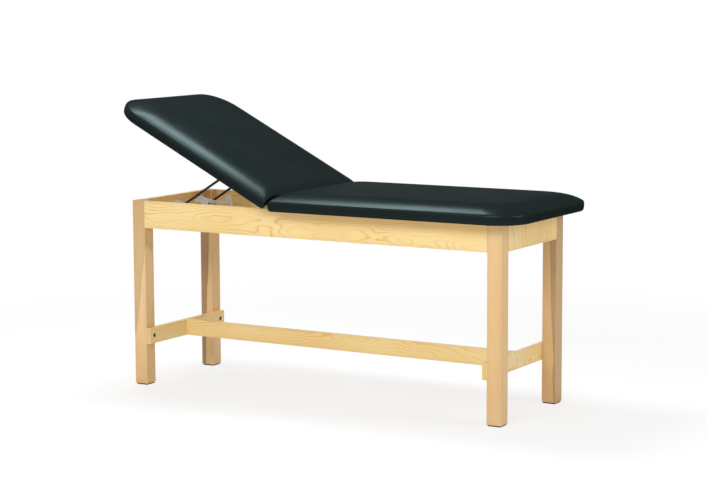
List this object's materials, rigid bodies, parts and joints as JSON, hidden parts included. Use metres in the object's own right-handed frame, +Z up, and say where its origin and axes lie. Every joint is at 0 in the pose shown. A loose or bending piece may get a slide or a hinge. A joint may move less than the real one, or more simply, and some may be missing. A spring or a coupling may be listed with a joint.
{
  "type": "treatment table",
  "caption": "Hardwood treatment table with a padded two-part top, a hinged backrest propped by a bail in toothed plates, and an H-brace low between the legs.",
  "frame": {"origin": "on the floor, in the middle of the table's box as it stands with its backrest propped at 27 degrees", "axes": "+X towards the foot end, away from the backrest; +Y across the table, away from the picture's camera; +Z up"},
  "size_m": [1.747, 0.686, 1.1318],
  "materials": {
    "legs": "clear satin lacquer on hardwood",
    "rails": "clear satin lacquer on hardwood",
    "plywood": "bare plywood",
    "foam": "open-cell foam",
    "vinyl": "satin grained vinyl",
    "black_steel": "black oxide",
    "zinc_steel": "zinc plated",
    "insert_brass": "plain brass",
    "bush_nylon": "moulded nylon",
    "glides": "moulded plastic"
  },
  "bodies": {
    "frame": {"leg_head_near": "legs", "leg_head_far": "legs", "leg_foot_near": "legs", "leg_foot_far": "legs", "side_apron_near": "rails", "side_apron_far": "rails", "end_apron_head": "rails", "end_apron_foot": "rails", "end_brace_head": "rails", "end_brace_foot": "rails", "stretcher": "rails", "hinge_rail": "legs", "middle_rail": "legs", "ratchet_rail": "legs", "leg_glides": "glides", "glide_screws": "zinc_steel", "brace_bolts": "black_steel", "brace_inserts": "insert_brass", "stretcher_bolts": "zinc_steel", "barrel_nuts": "zinc_steel", "seat_board": "plywood", "seat_foam": "foam", "seat_cover": "vinyl", "seat_brackets": "zinc_steel", "seat_bracket_screws": "zinc_steel", "hinge_leaf_seat": "zinc_steel", "hinge_screws_seat": "zinc_steel", "hinge_pin": "zinc_steel", "ratchet_plate_near": "zinc_steel", "ratchet_plate_far": "zinc_steel", "ratchet_screws": "zinc_steel"},
    "backrest": {"back_board": "plywood", "back_foam": "foam", "back_cover": "vinyl", "hinge_leaf_back": "zinc_steel", "hinge_screws_back": "zinc_steel", "pivot_bracket_near": "zinc_steel", "pivot_bracket_far": "zinc_steel", "pivot_bracket_screws": "zinc_steel", "bail_bushes": "bush_nylon"},
    "bail": {"bail_arm_near": "black_steel", "bail_arm_far": "black_steel", "bail_crossbar": "black_steel", "bail_clips": "black_steel"}
  },
  "joints": [
    {"name": "backrest_hinge", "type": "hinge", "parent": "frame", "child": "backrest", "pos_m": [-0.16247, 0, 0.755], "axis": [0, 1, 0], "range_deg": [-27, 18]},
    {"name": "bail_pivot", "type": "hinge", "parent": "backrest", "child": "bail", "pos_m": [-0.45322, 0, 0.86499], "axis": [0, 1, 0], "range_deg": [-37, 56]}
  ],
  "couplings": [
    {"joint": "bail_pivot", "follows": "backrest_hinge", "ratio": -2.0347}
  ]
}
